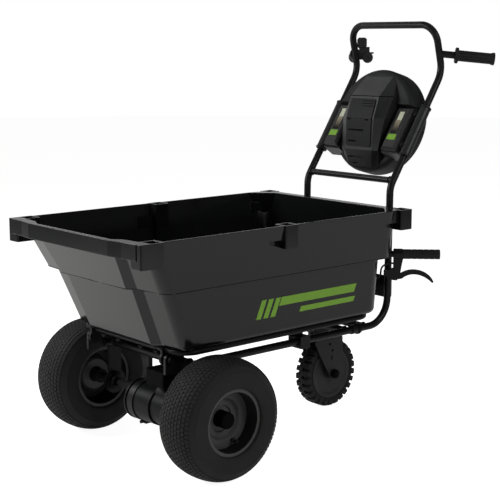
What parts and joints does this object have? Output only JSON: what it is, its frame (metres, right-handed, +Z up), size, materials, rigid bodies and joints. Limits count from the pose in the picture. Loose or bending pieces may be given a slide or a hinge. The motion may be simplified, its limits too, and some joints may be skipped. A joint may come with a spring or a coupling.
{
  "type": "electric garden cart",
  "caption": "Battery-powered garden cart with a stepped tipping tub, driven front wheels, a rear swivel caster, a bent-tube push handle and a battery housing between its posts",
  "frame": {"origin": "on the ground at the middle of the overall length and width", "axes": "X to the operator's left, Y to the rear where the operator walks, Z up"},
  "size_m": [0.6722, 1.2735, 1.102],
  "materials": {
    "tub_plastic": "satin moulded polyethylene, charcoal",
    "coated_steel": "semi-gloss black powder coat",
    "dark_steel": "black oxide",
    "plated_steel": "dull zinc plate",
    "rim_steel": "gloss black enamel",
    "motor_paint": "satin dark grey enamel",
    "tyre_rubber": "black tread rubber",
    "soft_rubber": "soft black rubber",
    "wheel_plastic": "black nylon",
    "shell_plastic": "fine-textured black moulding",
    "panel_plastic": "smooth black moulding",
    "pack_plastic": "fine-textured dark grey moulding",
    "window_plastic": "pale charge window",
    "green_plastic": "bright green moulding"
  },
  "bodies": {
    "chassis": {"front_cross_tube": "coated_steel", "rear_cross_tubes": "coated_steel", "tub_rests": "soft_rubber", "motor_case": "motor_paint", "gear_case": "motor_paint", "motor_band": "dark_steel", "controller": "shell_plastic", "caster_mount": "coated_steel", "handle_tube": "coated_steel", "rear_brace": "coated_steel", "housing_shell": "shell_plastic", "housing_spine": "shell_plastic", "front_panel": "panel_plastic", "throttle_pod": "shell_plastic", "left_rail": "coated_steel", "left_rest_bracket": "coated_steel", "left_axle_leg": "coated_steel", "left_axle_bearing": "dark_steel", "left_collar": "coated_steel", "left_grip": "soft_rubber", "left_clamp_sleeve": "shell_plastic", "left_dock": "shell_plastic", "right_rail": "coated_steel", "right_rest_bracket": "coated_steel", "right_axle_leg": "coated_steel", "right_axle_bearing": "dark_steel", "right_collar": "coated_steel", "right_grip": "soft_rubber", "right_clamp_sleeve": "shell_plastic", "right_dock": "shell_plastic"},
    "tub": {"tub_shell": "tub_plastic", "stake_pockets": "tub_plastic", "tub_cradle": "coated_steel", "tub_bolts": "plated_steel", "release_bracket": "coated_steel", "release_grip": "soft_rubber", "release_cable": "soft_rubber"},
    "release_lever": {"release_lever": "dark_steel"},
    "latch_bolt": {"latch_bolt": "plated_steel"},
    "left_wheel": {"left_tyre": "tyre_rubber", "left_rim": "rim_steel", "left_hub": "dark_steel", "left_valve": "soft_rubber"},
    "right_wheel": {"right_tyre": "tyre_rubber", "right_rim": "rim_steel", "right_hub": "dark_steel", "right_valve": "soft_rubber"},
    "caster": {"caster_fork": "coated_steel", "caster_bolt": "dark_steel"},
    "caster_wheel": {"caster_tyre": "tyre_rubber", "caster_hub": "wheel_plastic"},
    "throttle_lever": {"throttle_lever": "shell_plastic"},
    "direction_rocker": {"direction_rocker": "soft_rubber"},
    "left_pack": {"left_pack": "pack_plastic", "left_pack_window": "window_plastic", "left_pack_bar": "green_plastic"},
    "right_pack": {"right_pack": "pack_plastic", "right_pack_window": "window_plastic", "right_pack_bar": "green_plastic"}
  },
  "joints": [
    {"name": "tub_tip", "type": "hinge", "parent": "chassis", "child": "tub", "pos_m": [0, -0.45975, 0.288], "axis": [1, 0, 0], "range_deg": [0, 60]},
    {"name": "release_squeeze", "type": "hinge", "parent": "tub", "child": "release_lever", "pos_m": [0.22184, 0.28609, 0.405], "axis": [0.7071, -0.7071, 0], "range_deg": [0, 14], "stiffness_Nm_per_rad": 1.5, "springref_deg": -5.73},
    {"name": "latch_draw", "type": "slide", "parent": "tub", "child": "latch_bolt", "axis": [0, -1, 0], "range_m": [0, 0.008]},
    {"name": "left_wheel_roll", "type": "hinge", "parent": "chassis", "child": "left_wheel", "pos_m": [0.271, -0.38975, 0.1525], "axis": [1, 0, 0], "continuous": true},
    {"name": "right_wheel_roll", "type": "hinge", "parent": "chassis", "child": "right_wheel", "pos_m": [-0.271, -0.38975, 0.1525], "axis": [1, 0, 0], "continuous": true},
    {"name": "caster_swivel", "type": "hinge", "parent": "chassis", "child": "caster", "pos_m": [0, 0.20825, 0.214], "axis": [0, 0, 1], "continuous": true},
    {"name": "caster_roll", "type": "hinge", "parent": "caster", "child": "caster_wheel", "pos_m": [0, 0.23825, 0.099], "axis": [1, 0, 0], "continuous": true},
    {"name": "throttle_press", "type": "hinge", "parent": "chassis", "child": "throttle_lever", "pos_m": [-0.1471, 0.55109, 0.99672], "axis": [-0.7039, 0.7039, -0.0958], "range_deg": [0, 30], "stiffness_Nm_per_rad": 0.4, "springref_deg": -5.73},
    {"name": "rocker_tilt", "type": "hinge", "parent": "chassis", "child": "direction_rocker", "pos_m": [-0.16778, 0.54632, 1.05089], "axis": [0.7071, 0.7071, 0], "range_deg": [-10, 10]},
    {"name": "left_pack_draw", "type": "slide", "parent": "chassis", "child": "left_pack", "axis": [0, -0.8333, 0.5529], "range_m": [0, 0.07]},
    {"name": "right_pack_draw", "type": "slide", "parent": "chassis", "child": "right_pack", "axis": [0, -0.8333, 0.5529], "range_m": [0, 0.07]}
  ],
  "couplings": [
    {"joint": "latch_draw", "follows": "release_squeeze", "m_per_rad": 0.032331}
  ]
}
